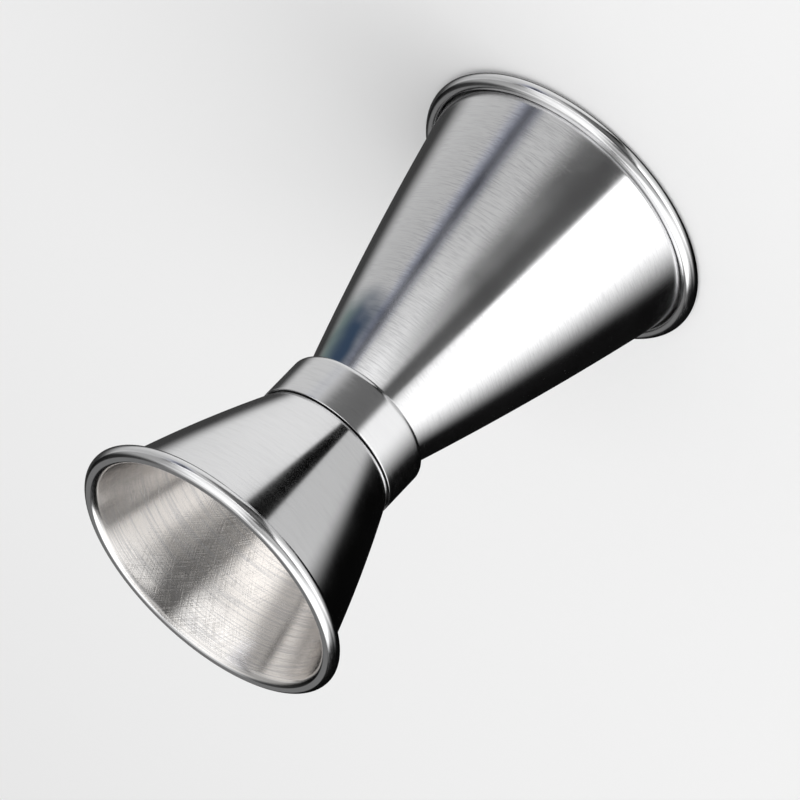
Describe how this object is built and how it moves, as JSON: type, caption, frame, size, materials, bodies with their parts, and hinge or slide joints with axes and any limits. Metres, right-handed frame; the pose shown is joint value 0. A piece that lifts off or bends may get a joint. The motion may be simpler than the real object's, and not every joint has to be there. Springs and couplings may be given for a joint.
{
  "type": "bar jigger",
  "caption": "Double-ended spirit measure: a larger and a smaller flared cup of sheet steel joined floor to floor inside a waist collar, with rolled rims",
  "frame": {"origin": "centre of the large cup's rim, on the surface that the jigger stands on", "axes": "+Z is the axis of both cups, from the large cup's mouth to the small cup's mouth; X and Y are free"},
  "size_m": [0.0508, 0.0508, 0.0862],
  "materials": {
    "large_cup_steel": "polished steel with fine lines round the cup",
    "small_cup_steel": "satin steel with turned lines inside",
    "collar_steel": "polished steel band",
    "braze": "dull braze metal"
  },
  "bodies": {
    "root": {"large_cup": "large_cup_steel", "small_cup": "small_cup_steel", "waist_collar": "collar_steel", "bottom_braze": "braze"}
  },
  "joints": []
}
